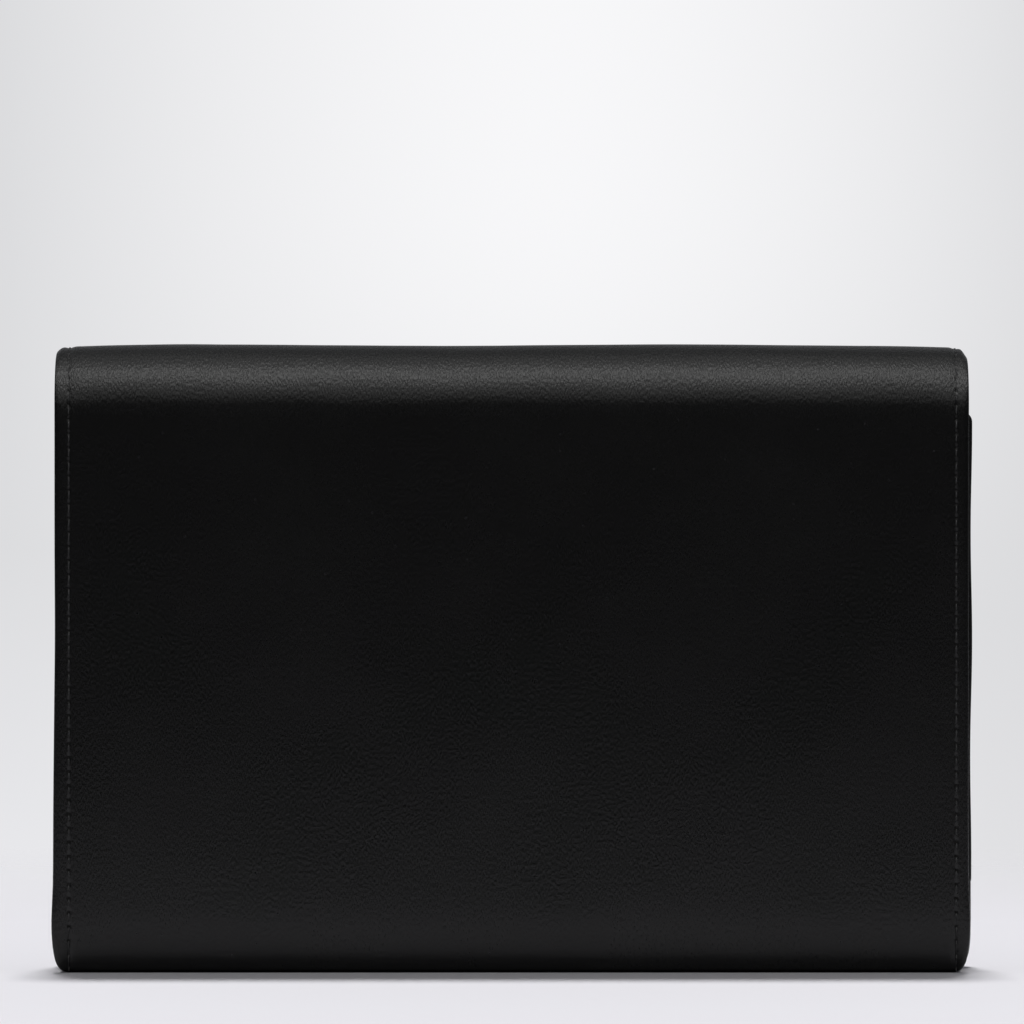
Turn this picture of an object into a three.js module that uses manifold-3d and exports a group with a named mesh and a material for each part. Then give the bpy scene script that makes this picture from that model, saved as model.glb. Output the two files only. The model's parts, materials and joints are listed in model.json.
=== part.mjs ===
// Envelope clutch purse in black satin: one turned-edge outer strip over stiffening boards,
// V-fold side gussets, a lined compartment with a slip pocket, and a magnetic snap under the flap.
// Millimetres, +Z up. X is the width, the flap hangs on the -Y side, and the origin is the middle of
// the footprint on the floor. Each wall is a sandwich of outer satin, board and lining.
import * as THREE from "three";
import { mergeVertices } from "three/addons/utils/BufferGeometryUtils.js";
import Module from "manifold-3d";

const wasm = await Module();
wasm.setup();

// Driving dimensions.
const WIDTH = 260; // outer strip: back, top fold and flap
const HEIGHT = 179;
const DEPTH = 36;
const FRONT_WIDTH = 264; // the pocket front stands a little wider than the flap over it
const OUTER = 0.8; // satin with its backing
const BOARD = 0.8; // bonded fibre board
const LINING = 0.5;
const GAP = 0.3; // between the layers
const WALL = OUTER + BOARD + LINING + 2 * GAP;
const EDGE = 2; // boards and linings stop this far inside the outer's edge
const ARC_STEPS = 10; // facets in a quarter of a fold

// The top fold is half a cylinder over the mouth.
const FOLD_R = DEPTH / 2;
const FOLD_Z = HEIGHT - FOLD_R;
const HINGE_GAP = 0.6; // split in the layers at each crease of the top fold
const REAR_CREASE = Math.PI / 4; // angle up from the back, about the fold's centre line
const FRONT_CREASE = (3 * Math.PI) / 4;

// Flap and pocket front.
const FLAP_FOOT = 52;
const FLAP_CORNER_R = 12;
const SNAP_STACK = 3.7; // space that the snap takes between the flap and the pocket front
const BACK_FACE = DEPTH / 2;
const FLAP_FACE = -DEPTH / 2;
const FRONT_FACE = FLAP_FACE + WALL + SNAP_STACK;
const FRONT_TOP = 160;
const FRONT_CORNER_R = 3;

// The bottom folds are quarter ellipses between the flat base and the walls.
const BASE_CORNER_Y = 5.5;
const BASE_CORNER_Z = 12;
const BASE_FRONT = FRONT_FACE + BASE_CORNER_Y; // the pocket front tips about this line
const BASE_REAR = BACK_FACE - BASE_CORNER_Y;

// Side gussets: a V that folds inward, deeper at the mouth than at the base.
const GUSSET_OUTER = 0.6;
const GUSSET_LINING = 0.5;
const GUSSET_EDGE_X = 129;
const GUSSET_DEPTH_LOW = 14;
const GUSSET_DEPTH_HIGH = 22;
const GUSSET_TOP = 156;

// Slip pocket on the back lining.
const POCKET_WIDTH = 150;
const POCKET_FOOT = 38;
const POCKET_TOP = 130;
const POCKET_T = 0.6;
const POCKET_HEM = 6;
const BINDING_HEIGHT = 9;
const BINDING_T = 0.4;

// Magnetic snap, on the centre line near the flap's foot.
const SNAP_Z = 68;
const SNAP_R = 7;
const SOCKET_HOLE_R = 3.3;
const STUD_R = 2.6;
const STUD_LENGTH = 1.8;
const PLATE_T = 0.6;
const COVER_T = 0.3;
const SOCKET_T = 2.2;
const WASHER_R = 5.7;
const WASHER_T = 0.5;
const WASHER_SEAT_R = 6.2; // round cut-out in the board
const PRONG = { x: 3.5, width: 0.4, height: 2, slack: 0.3 };

const satin = { color: 0x0b0b0c, roughness: 0.42, metalness: 0 };
const board = { color: 0x6f5a41, roughness: 0.9, metalness: 0 };
const lining = { color: 0x131315, roughness: 0.6, metalness: 0 };
const brass = { color: 0xc9b27c, roughness: 0.25, metalness: 1 };
const steel = { color: 0x9a9ca0, roughness: 0.35, metalness: 1 };
const ferrite = { color: 0x2b2b2d, roughness: 0.7, metalness: 0 };

const clutch = new THREE.Group();

function addMesh(name, geometry, look) {
  const mesh = new THREE.Mesh(geometry, new THREE.MeshStandardMaterial(look));
  mesh.name = name;
  clutch.add(mesh);
  return mesh;
}

// A flat outline in (x, z), as thick as the span from yLow to yHigh.
function sheetXZ(shape, yLow, yHigh) {
  const geometry = new THREE.ExtrudeGeometry(shape, {
    depth: yHigh - yLow,
    bevelEnabled: false,
    curveSegments: 6,
  });
  return geometry.rotateX(Math.PI / 2).translate(0, yHigh, 0);
}

// A section in (y, z), swept across the width and centred on x = 0.
function stripYZ(shape, width) {
  const geometry = new THREE.ExtrudeGeometry(shape, {
    depth: width,
    bevelEnabled: false,
  });
  const turn = new THREE.Matrix4().makeBasis(
    new THREE.Vector3(0, 1, 0),
    new THREE.Vector3(0, 0, 1),
    new THREE.Vector3(1, 0, 0),
  );
  return geometry.applyMatrix4(turn).translate(-width / 2, 0, 0);
}

// A rectangle in (x, z) whose lower and upper corners may be rounded.
function panelShape(width, zLow, zHigh, lowR = 0, highR = 0) {
  const half = width / 2;
  const shape = new THREE.Shape();
  shape.moveTo(-half + lowR, zLow).lineTo(half - lowR, zLow);
  if (lowR) shape.absarc(half - lowR, zLow + lowR, lowR, -Math.PI / 2, 0, false);
  shape.lineTo(half, zHigh - highR);
  if (highR) shape.absarc(half - highR, zHigh - highR, highR, 0, Math.PI / 2, false);
  shape.lineTo(-half + highR, zHigh);
  if (highR) shape.absarc(-half + highR, zHigh - highR, highR, Math.PI / 2, Math.PI, false);
  shape.lineTo(-half, zLow + lowR);
  if (lowR) shape.absarc(-half + lowR, zLow + lowR, lowR, Math.PI, 1.5 * Math.PI, false);
  return shape;
}

// A bent layer in (y, z): the band between two ellipses about one centre, from one angle to another.
function bandShape(centre, outerAxes, thickness, from, to) {
  const steps = Math.max(2, Math.round((ARC_STEPS * (to - from)) / (Math.PI / 2)));
  const at = (axes, k) => {
    const angle = from + ((to - from) * k) / steps;
    return new THREE.Vector2(
      centre.y + axes.y * Math.cos(angle),
      centre.z + axes.z * Math.sin(angle),
    );
  };
  const innerAxes = { y: outerAxes.y - thickness, z: outerAxes.z - thickness };
  const points = [];
  for (let k = 0; k <= steps; k++) points.push(at(outerAxes, k));
  for (let k = steps; k >= 0; k--) points.push(at(innerAxes, k));
  return new THREE.Shape(points);
}

// One layer of the top fold, between two angles, its outer side `inset` inside the fold's surface.
function foldLayer(inset, thickness, from, to, width) {
  const r = FOLD_R - inset;
  return stripYZ(bandShape({ y: 0, z: FOLD_Z }, { y: r, z: r }, thickness, from, to), width);
}

// One layer of a bottom fold: side is 1 at the back and -1 at the front.
function baseCorner(side, inset, thickness, width) {
  const centre = { y: side > 0 ? BASE_REAR : BASE_FRONT, z: BASE_CORNER_Z };
  const axes = { y: BASE_CORNER_Y - inset, z: BASE_CORNER_Z - inset };
  const split = GAP / axes.y; // keeps the pocket front clear of the base that it tips on
  const [from, to] = side > 0 ? [-Math.PI / 2, 0] : [Math.PI, 1.5 * Math.PI - split];
  return stripYZ(bandShape(centre, axes, thickness, from, to), width);
}

function toSolid(geometry) {
  const bare = new THREE.BufferGeometry();
  bare.setAttribute("position", geometry.getAttribute("position"));
  if (geometry.index) bare.setIndex(geometry.index);
  const merged = mergeVertices(bare, 1e-4);
  const index = merged.index.array;
  const triangles = [];
  for (let k = 0; k < index.length; k += 3) {
    const [a, b, c] = [index[k], index[k + 1], index[k + 2]];
    if (a !== b && b !== c && c !== a) triangles.push(a, b, c);
  }
  return new wasm.Manifold(
    new wasm.Mesh({
      numProp: 3,
      vertProperties: merged.attributes.position.array,
      triVerts: new Uint32Array(triangles),
    }),
  );
}

function toGeometry(solid) {
  const mesh = solid.getMesh();
  const geometry = new THREE.BufferGeometry();
  geometry.setAttribute("position", new THREE.BufferAttribute(mesh.vertProperties, 3));
  geometry.setIndex(new THREE.BufferAttribute(mesh.triVerts, 1));
  geometry.computeVertexNormals();
  return geometry;
}

const subtract = (geometry, ...cuts) =>
  toGeometry(cuts.reduce((left, cut) => left.subtract(toSolid(cut)), toSolid(geometry)));
const join = (geometry, ...more) =>
  toGeometry(more.reduce((sum, next) => sum.add(toSolid(next)), toSolid(geometry)));

// A solid of revolution about the snap's axis: points are [radius, y].
function turned(points) {
  const profile = points.map(([r, y]) => new THREE.Vector2(r, y));
  return new THREE.LatheGeometry(profile, 32).translate(0, 0, SNAP_Z);
}

const disc = (r, yLow, yHigh) => turned([[0, yLow], [r, yLow], [r, yHigh], [0, yHigh]]);

const ring = (rOut, rIn, yLow, yHigh) =>
  turned([[rIn, yLow], [rOut, yLow], [rOut, yHigh], [rIn, yHigh], [rIn, yLow]]);

// The two prongs of a snap half, or the slots that they pass through.
function prongs(yLow, yHigh, slack = 0) {
  return [-1, 1].map((side) =>
    new THREE.BoxGeometry(
      PRONG.width + 2 * slack,
      yHigh - yLow,
      PRONG.height + 2 * slack,
    ).translate(side * PRONG.x, (yLow + yHigh) / 2, SNAP_Z),
  );
}

const slots = (yLow, yHigh) => prongs(yLow - 1, yHigh + 1, PRONG.slack);

// Back wall, rising from the base and running over into the rear part of the top fold.
const CREASE_SPLIT = HINGE_GAP / 2 / FOLD_R;
function addBack() {
  const inner = WIDTH - 2 * EDGE;
  const low = BASE_CORNER_Z + GAP;
  const layer = (inset, thickness, width) => {
    const y = BACK_FACE - inset;
    const wall = sheetXZ(panelShape(width, low, FOLD_Z), y - thickness, y);
    return join(wall, foldLayer(inset, thickness, 0, REAR_CREASE - CREASE_SPLIT, width));
  };
  addMesh("outer_back", layer(0, OUTER, WIDTH), satin);
  const boardHigh = BACK_FACE - OUTER - GAP;
  const boardShape = panelShape(inner, low, FOLD_Z - EDGE);
  addMesh("board_back", sheetXZ(boardShape, boardHigh - BOARD, boardHigh), board);
  addMesh("lining_back", layer(WALL - LINING, LINING, inner), lining);
}

// Middle of the top fold, between its two creases.
function addFold() {
  const from = REAR_CREASE + CREASE_SPLIT;
  const to = FRONT_CREASE - CREASE_SPLIT;
  const inner = WIDTH - 2 * EDGE;
  addMesh("outer_top_fold", foldLayer(0, OUTER, from, to, WIDTH), satin);
  addMesh("interlining_top_fold", foldLayer(OUTER + GAP, BOARD, from, to, inner), board);
  addMesh("lining_top_fold", foldLayer(WALL - LINING, LINING, from, to, inner), lining);
}

// Flap, hanging from the front part of the top fold, and the snap's stud.
function addFlap() {
  const inner = WIDTH - 2 * EDGE;
  const from = FRONT_CREASE + CREASE_SPLIT;
  const outer = panelShape(WIDTH, FLAP_FOOT, FOLD_Z, FLAP_CORNER_R);
  const inside = panelShape(inner, FLAP_FOOT + EDGE, FOLD_Z, FLAP_CORNER_R - EDGE);
  const stiff = panelShape(inner, FLAP_FOOT + EDGE, FOLD_Z - EDGE, FLAP_CORNER_R - EDGE);
  const boardLow = FLAP_FACE + OUTER + GAP;
  const liningLow = boardLow + BOARD + GAP;
  const liningHigh = liningLow + LINING;
  addMesh(
    "outer_flap",
    join(
      sheetXZ(outer, FLAP_FACE, FLAP_FACE + OUTER),
      foldLayer(0, OUTER, from, Math.PI, WIDTH),
    ),
    satin,
  );
  addMesh(
    "board_flap",
    subtract(
      sheetXZ(stiff, boardLow, boardLow + BOARD),
      disc(WASHER_SEAT_R, boardLow - 1, boardLow + BOARD + 1),
    ),
    board,
  );
  const flatLining = subtract(
    sheetXZ(inside, liningLow, liningHigh),
    ...slots(liningLow, liningHigh),
  );
  addMesh(
    "lining_flap",
    join(flatLining, foldLayer(WALL - LINING, LINING, from, Math.PI, inner)),
    lining,
  );
  const washerLow = boardLow + (BOARD - WASHER_T) / 2;
  addMesh(
    "snap_stud_washer",
    subtract(
      disc(WASHER_R, washerLow, washerLow + WASHER_T),
      ...slots(washerLow, washerLow + WASHER_T),
    ),
    steel,
  );
  const plateLow = liningHigh + GAP;
  const plateHigh = plateLow + PLATE_T;
  const stud = turned([
    [0, plateLow],
    [SNAP_R, plateLow],
    [SNAP_R, plateHigh - 0.25],
    [SNAP_R - 0.3, plateHigh],
    [STUD_R, plateHigh],
    [STUD_R, plateHigh + STUD_LENGTH - 0.4],
    [STUD_R - 0.4, plateHigh + STUD_LENGTH],
    [0, plateHigh + STUD_LENGTH],
  ]);
  addMesh("snap_stud", join(stud, ...prongs(washerLow, plateLow + 0.2)), brass);
}

// Flat base, running into the fold up to the back.
function addBase() {
  const inner = WIDTH - 2 * EDGE;
  const flat = (inset, thickness, width) => {
    const low = BASE_FRONT + GAP;
    return new THREE.BoxGeometry(width, BASE_REAR - low, thickness).translate(
      0,
      (low + BASE_REAR) / 2,
      inset + thickness / 2,
    );
  };
  const layer = (inset, thickness, width) =>
    join(flat(inset, thickness, width), baseCorner(1, inset, thickness, width));
  addMesh("outer_base", layer(0, OUTER, WIDTH), satin);
  addMesh("board_base", flat(OUTER + GAP, BOARD, inner), board);
  addMesh("lining_base", layer(WALL - LINING, LINING, inner), lining);
}

// Pocket front with its fold up from the base, and the snap's socket.
function addFront() {
  const inner = FRONT_WIDTH - 2 * EDGE;
  const low = BASE_CORNER_Z;
  const outer = panelShape(FRONT_WIDTH, low, FRONT_TOP, 0, FRONT_CORNER_R);
  const inside = panelShape(inner, low, FRONT_TOP - EDGE, 0, FRONT_CORNER_R - 1);
  const stiff = panelShape(inner, low + EDGE, FRONT_TOP - EDGE, 0, FRONT_CORNER_R - 1);
  const outerHigh = FRONT_FACE + OUTER;
  const boardLow = outerHigh + GAP;
  const liningLow = boardLow + BOARD + GAP;
  const flatOuter = subtract(
    sheetXZ(outer, FRONT_FACE, outerHigh),
    ...slots(FRONT_FACE, outerHigh),
  );
  addMesh("outer_front", join(flatOuter, baseCorner(-1, 0, OUTER, FRONT_WIDTH)), satin);
  addMesh(
    "board_front",
    subtract(
      sheetXZ(stiff, boardLow, boardLow + BOARD),
      disc(WASHER_SEAT_R, boardLow - 1, boardLow + BOARD + 1),
    ),
    board,
  );
  addMesh(
    "lining_front",
    join(
      sheetXZ(inside, liningLow, liningLow + LINING),
      baseCorner(-1, WALL - LINING, LINING, inner),
    ),
    lining,
  );
  const washerLow = boardLow + (BOARD - WASHER_T) / 2;
  const washerHigh = washerLow + WASHER_T;
  addMesh(
    "snap_socket_washer",
    subtract(disc(WASHER_R, washerLow, washerHigh), ...slots(washerLow, washerHigh)),
    steel,
  );
  const rear = FRONT_FACE - GAP;
  const face = rear - SOCKET_T;
  const wallIn = SNAP_R - COVER_T;
  addMesh(
    "snap_socket_cover",
    turned([
      [SOCKET_HOLE_R, face],
      [SNAP_R - 0.4, face],
      [SNAP_R, face + 0.4],
      [SNAP_R, rear],
      [wallIn, rear],
      [wallIn, face + COVER_T + 0.3],
      [wallIn - 0.3, face + COVER_T],
      [SOCKET_HOLE_R, face + COVER_T],
      [SOCKET_HOLE_R, face],
    ]),
    brass,
  );
  const magnetLow = face + COVER_T + GAP;
  const baseLow = rear - COVER_T;
  addMesh(
    "snap_magnet",
    ring(wallIn - GAP, SOCKET_HOLE_R + GAP, magnetLow, baseLow - GAP),
    ferrite,
  );
  addMesh(
    "snap_socket_base",
    join(disc(wallIn - GAP, baseLow, rear), ...prongs(rear - 0.1, washerHigh)),
    steel,
  );
}

// A six-sided block between a quadrilateral at one height and another at a greater height. The two
// twisted faces are creased along the same diagonal, so the block keeps its thickness.
function taperedBlock(low, zLow, high, zHigh) {
  const points = [...low.map(([x, y]) => [x, y, zLow]), ...high.map(([x, y]) => [x, y, zHigh])];
  const geometry = new THREE.BufferGeometry();
  geometry.setAttribute("position", new THREE.Float32BufferAttribute(points.flat(), 3));
  const ends = [0, 2, 1, 0, 3, 2, 4, 5, 6, 4, 6, 7];
  const twisted = [0, 1, 5, 0, 5, 4, 2, 3, 6, 3, 7, 6];
  const upright = [1, 2, 6, 1, 6, 5, 3, 0, 4, 3, 4, 7];
  geometry.setIndex([...ends, ...twisted, ...upright]);
  return geometry;
}

// The hollow that the gussets close off at each end, a little inside the linings.
function hollowSection() {
  const rear = BACK_FACE - WALL - GAP;
  const front = FRONT_FACE + WALL + GAP;
  const floor = WALL + GAP;
  const axisY = BASE_CORNER_Y - WALL - GAP;
  const axisZ = BASE_CORNER_Z - WALL - GAP;
  const shape = new THREE.Shape();
  shape.moveTo(front, GUSSET_TOP + GAP);
  shape.lineTo(front, BASE_CORNER_Z);
  shape.absellipse(BASE_FRONT, BASE_CORNER_Z, axisY, axisZ, Math.PI, 1.5 * Math.PI, false);
  shape.lineTo(BASE_REAR, floor);
  shape.absellipse(BASE_REAR, BASE_CORNER_Z, axisY, axisZ, 1.5 * Math.PI, 2 * Math.PI, false);
  shape.lineTo(rear, GUSSET_TOP + GAP);
  return shape;
}

// One layer of one half of a gusset. The half runs from the wall's edge to the fold in the middle;
// reach is how far its outward face stands towards the inside from the gusset's outer surface.
function gussetLayer(side, half, reach, thickness) {
  const wallY = half > 0 ? BACK_FACE - WALL : FRONT_FACE + WALL;
  const foldY = (BACK_FACE + FRONT_FACE) / 2 + half * GAP;
  const section = (depth) => {
    const slope = Math.hypot(depth, wallY - foldY) / Math.abs(wallY - foldY);
    const shift = (distance) => distance * slope;
    const from = GUSSET_EDGE_X - shift(reach);
    const to = from - shift(thickness);
    return [
      [side * from, wallY],
      [side * (from - depth), foldY],
      [side * (to - depth), foldY],
      [side * to, wallY],
    ];
  };
  const quads = [section(GUSSET_DEPTH_LOW), section(GUSSET_DEPTH_HIGH)];
  if (side * half > 0) quads.forEach((quad) => quad.reverse());
  const block = taperedBlock(quads[0], 0, quads[1], GUSSET_TOP);
  const hollow = stripYZ(hollowSection(), FRONT_WIDTH);
  return toGeometry(toSolid(block).intersect(toSolid(hollow)));
}

function addGussets() {
  for (const [sideName, side] of [["left", -1], ["right", 1]]) {
    for (const [halfName, half] of [["rear", 1], ["front", -1]]) {
      const end = sideName + "_" + halfName;
      addMesh("gusset_satin_" + end, gussetLayer(side, half, 0, GUSSET_OUTER), satin);
      addMesh(
        "gusset_lining_" + end,
        gussetLayer(side, half, GUSSET_OUTER + GAP, GUSSET_LINING),
        lining,
      );
    }
  }
}

// Slip pocket: a panel held off the back lining by its turned hems, with a bound top edge.
function addSlipPocket() {
  const hemHigh = BACK_FACE - WALL - GAP;
  const hemLow = hemHigh - POCKET_T;
  const panelHigh = hemLow - GAP;
  const panelLow = panelHigh - POCKET_T;
  const half = POCKET_WIDTH / 2;
  const bindingFoot = POCKET_TOP - BINDING_HEIGHT;
  const hem = (xLow, xHigh, zLow, zHigh) =>
    new THREE.BoxGeometry(xHigh - xLow, POCKET_T, zHigh - zLow).translate(
      (xLow + xHigh) / 2,
      (hemLow + hemHigh) / 2,
      (zLow + zHigh) / 2,
    );
  const sideLow = POCKET_FOOT + POCKET_HEM + GAP;
  const sideHigh = bindingFoot - GAP;
  addMesh("pocket_hem_left", hem(-half, -half + POCKET_HEM, sideLow, sideHigh), lining);
  addMesh("pocket_hem_right", hem(half - POCKET_HEM, half, sideLow, sideHigh), lining);
  addMesh("pocket_hem_foot", hem(-half, half, POCKET_FOOT, POCKET_FOOT + POCKET_HEM), lining);
  addMesh(
    "pocket_panel",
    sheetXZ(panelShape(POCKET_WIDTH, POCKET_FOOT, POCKET_TOP), panelLow, panelHigh),
    lining,
  );
  const innerLow = panelLow - GAP;
  const innerHigh = panelHigh + GAP;
  const innerTop = POCKET_TOP + GAP;
  const section = [
    [innerLow - BINDING_T, bindingFoot],
    [innerLow, bindingFoot],
    [innerLow, innerTop],
    [innerHigh, innerTop],
    [innerHigh, bindingFoot],
    [innerHigh + BINDING_T, bindingFoot],
    [innerHigh + BINDING_T, innerTop + BINDING_T],
    [innerLow - BINDING_T, innerTop + BINDING_T],
  ];
  const shape = new THREE.Shape(section.map(([y, z]) => new THREE.Vector2(y, z)));
  addMesh("pocket_binding", stripYZ(shape, POCKET_WIDTH), satin);
}

addBack();
addFold();
addFlap();
addBase();
addFront();
addGussets();
addSlipPocket();

export default clutch;
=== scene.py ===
"""Black satin envelope clutch purse, seen from its plain back. Metres, in the CAD's frame."""

import json
import math

import bpy
import numpy as np
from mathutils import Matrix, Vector

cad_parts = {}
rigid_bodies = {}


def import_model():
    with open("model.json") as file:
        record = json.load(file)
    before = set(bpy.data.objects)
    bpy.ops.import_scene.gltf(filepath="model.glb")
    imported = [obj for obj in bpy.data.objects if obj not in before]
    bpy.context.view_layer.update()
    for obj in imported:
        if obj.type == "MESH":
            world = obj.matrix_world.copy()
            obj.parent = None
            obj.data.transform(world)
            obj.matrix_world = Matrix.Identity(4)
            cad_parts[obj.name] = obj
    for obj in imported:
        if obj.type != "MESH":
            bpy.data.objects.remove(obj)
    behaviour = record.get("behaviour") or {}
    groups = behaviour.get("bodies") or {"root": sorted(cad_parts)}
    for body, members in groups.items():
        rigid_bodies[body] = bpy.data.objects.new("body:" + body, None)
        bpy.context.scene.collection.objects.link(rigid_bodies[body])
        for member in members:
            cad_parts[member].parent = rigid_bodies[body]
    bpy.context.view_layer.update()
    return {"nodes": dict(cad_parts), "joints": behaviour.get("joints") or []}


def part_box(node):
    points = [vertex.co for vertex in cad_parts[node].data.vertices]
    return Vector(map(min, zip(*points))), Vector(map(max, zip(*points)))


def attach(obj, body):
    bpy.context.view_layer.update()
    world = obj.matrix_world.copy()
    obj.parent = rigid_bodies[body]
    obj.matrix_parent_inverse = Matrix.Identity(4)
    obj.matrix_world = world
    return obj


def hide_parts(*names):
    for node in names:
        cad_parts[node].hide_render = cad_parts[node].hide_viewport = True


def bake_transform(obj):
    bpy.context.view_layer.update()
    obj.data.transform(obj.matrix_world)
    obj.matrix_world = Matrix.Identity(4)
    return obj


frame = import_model()

MM = 0.001

# ---------------------------------------------------------------- sizes from the CAD
back_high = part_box("outer_back")[1]
base_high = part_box("outer_base")[1]
flap_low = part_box("outer_flap")[0]
front_low, front_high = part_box("outer_front")
fold_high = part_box("outer_top_fold")[1]

BACK_Y = back_high.y
FOLD_R = BACK_Y
CROWN_Z = fold_high.z
FOLD_Z = CROWN_Z - FOLD_R
HALF = back_high.x
FRONT_HALF = front_high.x
FRONT_Y = front_low.y
FRONT_TOP = front_high.z
FLAP_FOOT = flap_low.z
CORNER_Z = base_high.z
TIP_Y = next(j["pos_m"][1] for j in frame["joints"] if j["name"] == "mouth_open")
CORNER_Y = TIP_Y - FRONT_Y
REAR_Y = BACK_Y - CORNER_Y
WALL = 2.7 * MM

SATIN_T = 2.2 * MM  # satin turned round its board, as one slab
LINING_T = 0.65 * MM
LINING_IN = WALL - LINING_T
LINING_EDGE = 2.6 * MM  # the satin's turn-in shows this far round the lining
FLAP_CORNER = 12 * MM
FRONT_CORNER = 3 * MM
CORNER_POWER = 5.0
STITCH_IN = 3.9 * MM
STITCH_SHIFT = -0.2 * MM
PITCH = 4.0 * MM
THREAD_R = 0.2 * MM
FRONT_SHIFT = -0.6 * MM  # the pocket front is sewn in slightly off the back's centre
GROOVE = 0.13 * MM  # how deep the stitching pulls the satin in
HOLE = 0.3 * MM  # how much deeper it is at a needle hole
STITCH_SLANT = 0.10 * MM  # how far a stitch's ends lie off the line of stitches
THREAD_SUNK = 0.50 * MM  # how deep a stitch's ends are
THREAD_RISE = 0.58 * MM  # how much higher its middle is
EDGE_REACH = 1.9 * MM  # how far in from an outline the satin's faces round over

rng = np.random.default_rng(7)


# ---------------------------------------------------------------- lines in (y, z)
class Line:
    """A line in (y, z), followed by its length s, with its outward normal."""

    def __init__(self, *parts):
        points = [np.asarray(parts[0], float)]
        for part in parts[1:]:
            points.append(np.asarray(part, float)[1:])
        p = np.concatenate(points)
        step = np.hypot(*np.diff(p, axis=0).T)
        p = p[np.concatenate([[True], step > 1e-7])]
        step = np.hypot(*np.diff(p, axis=0).T)
        self.s = np.concatenate([[0.0], np.cumsum(step)])
        self.p = p
        t = np.gradient(p, self.s, axis=0)
        t /= np.linalg.norm(t, axis=1, keepdims=True)
        self.n = np.stack([t[:, 1], -t[:, 0]], 1)

    def at(self, s):
        y = np.interp(s, self.s, self.p[:, 0])
        z = np.interp(s, self.s, self.p[:, 1])
        ny = np.interp(s, self.s, self.n[:, 0])
        nz = np.interp(s, self.s, self.n[:, 1])
        size = np.hypot(ny, nz)
        return y, z, ny / size, nz / size

    def s_at(self, test):
        """The first s whose point passes a test of (y, z)."""
        return float(self.s[np.argmax([test(*q) for q in self.p])])


def straight(a, b, step=0.2 * MM):
    n = max(2, int(np.hypot(b[0] - a[0], b[1] - a[1]) / step))
    return np.linspace(a, b, n)


def arc(centre, axes, start, end, n=240):
    t = np.radians(np.linspace(start, end, n))
    return np.stack([centre[0] + axes[0] * np.cos(t), centre[1] + axes[1] * np.sin(t)], 1)


def soft_corner(centre, axes, start, end, n=240):
    """A corner that is squarer than an ellipse's."""
    t = np.radians(np.linspace(start, end, n))
    c, d, power = np.cos(t), np.sin(t), 2 / CORNER_POWER
    y = centre[0] + axes[0] * np.sign(c) * np.abs(c) ** power
    z = centre[1] + axes[1] * np.sign(d) * np.abs(d) ** power
    return np.stack([y, z], 1)


strip = Line(
    straight((TIP_Y, 0), (REAR_Y, 0)),
    soft_corner((REAR_Y, CORNER_Z), (CORNER_Y, CORNER_Z), -90, 0),
    straight((BACK_Y, CORNER_Z), (BACK_Y, FOLD_Z)),
    arc((0, FOLD_Z), (FOLD_R, FOLD_R), 0, 180, 900),
    straight((-FOLD_R, FOLD_Z), (-FOLD_R, FLAP_FOOT)),
)
front = Line(
    straight((FRONT_Y, FRONT_TOP), (FRONT_Y, CORNER_Z)),
    soft_corner((TIP_Y, CORNER_Z), (CORNER_Y, CORNER_Z), 180, 270),
)
S_WALL = strip.s_at(lambda y, z: z >= CORNER_Z and y > 0)
S_BASE = REAR_Y - TIP_Y
S_FOLD = S_WALL + (FOLD_Z - CORNER_Z)
S_CROWN = S_FOLD + FOLD_R * math.pi / 2
S_FLAP = S_FOLD + FOLD_R * math.pi
S_FOOT = float(strip.s[-1])
S_FRONT_END = float(front.s[-1])


# ---------------------------------------------------------------- smooth relief
def waves(seed, count, longest, shortest):
    """A smooth random field over (x, s), with values of about -1 to 1."""
    r = np.random.default_rng(seed)
    angle = r.uniform(0, math.pi, count)
    length = np.exp(r.uniform(math.log(shortest), math.log(longest), count))
    kx, ks = 2 * math.pi / length * np.cos(angle), 2 * math.pi / length * np.sin(angle)
    phase = r.uniform(0, 2 * math.pi, count)
    size = (length / length.max()) ** 0.7
    size /= np.sqrt((size**2).sum() / 2)

    def field(x, s):
        total = np.zeros(np.broadcast(x, s).shape)
        for a, b, c, d in zip(kx, ks, phase, size):
            total = total + d * np.sin(a * x + b * s + c)
        return 0.6 * total

    return field


broad = waves(3, 9, 0.16, 0.05)
rumple = waves(11, 14, 0.045, 0.014)


def bump(v, centre, width):
    return np.exp(-(((v - centre) / width) ** 2))


def fold_angle(s):
    """Angle round the top fold, 0 at the back wall and 180 at the flap."""
    return np.degrees((s - S_FOLD) / FOLD_R)


def shoulder(edge, s, angle, depth, width):
    """The top fold sinks towards its ends, about an angle round it."""
    return -depth * bump(edge, 0, width) * bump(fold_angle(s), angle, 26)


def back_shoulder(edge, s):
    return shoulder(edge, s, 28, 0.85 * MM, 8.5 * MM)


def flap_shoulder(edge, s):
    return shoulder(edge, s, 150, 0.5 * MM, 8 * MM)


def needle_relief(line_distance, s, first):
    """The groove that the stitching pulls, and its needle holes, for a line of stitches along s."""
    groove = -GROOVE * bump(line_distance, 0, 0.85 * MM)
    beside = 0.05 * MM * bump(np.abs(line_distance), 2.0 * MM, 0.9 * MM)
    along = (s - first + PITCH / 2) % PITCH - PITCH / 2 - 0.15 * MM
    length = np.where((along > 0) == (s <= S_CROWN), 0.85 * MM, 0.3 * MM)
    hole = bump(line_distance, 0, 0.34 * MM) * bump(along, 0, length)
    return groove + beside - HOLE * hole


def height_of(line, s):
    return np.interp(s, line.s, line.p[:, 1])


def stitch_in(s):
    """The stitches run closer to the edge over the top fold."""
    return STITCH_IN - 0.7 * MM * bump(fold_angle(s), 90, 55)


def lean(s):
    """How far the back's sides lean over to one side, lower down."""
    t = np.clip((95 * MM - height_of(strip, s)) / (55 * MM), 0, 1)
    return 0.26 * MM * t * t * (3 - 2 * t) * (s < S_CROWN)


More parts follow.
